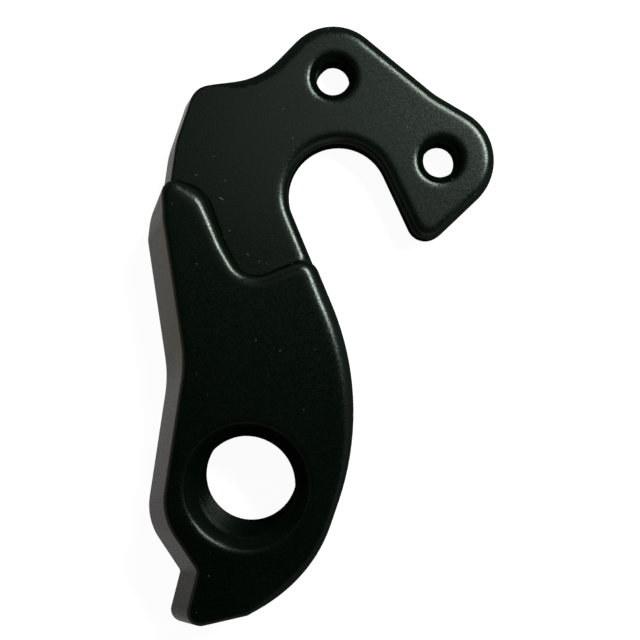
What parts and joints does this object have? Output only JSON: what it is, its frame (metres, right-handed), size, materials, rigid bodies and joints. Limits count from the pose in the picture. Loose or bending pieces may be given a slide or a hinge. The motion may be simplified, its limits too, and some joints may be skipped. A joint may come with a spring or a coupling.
{
  "type": "derailleur hanger",
  "caption": "Replaceable bicycle derailleur hanger: a thin plate with an open axle slot and tapped fixing holes, and a thick arm tapped for the derailleur's bolt, with a hooked stop.",
  "frame": {"origin": "axis of the derailleur bolt's hole, on the flat back face", "axes": "+Z out of the front face along the bolt's axis, +Y up the hanger towards the wheel axle, +X towards the open side of the axle slot"},
  "size_m": [0.0346, 0.0596, 0.008],
  "materials": {
    "black_anodised": "satin black anodised over a fine blasted grain"
  },
  "bodies": {
    "root": {"hanger": "black_anodised"}
  },
  "joints": []
}
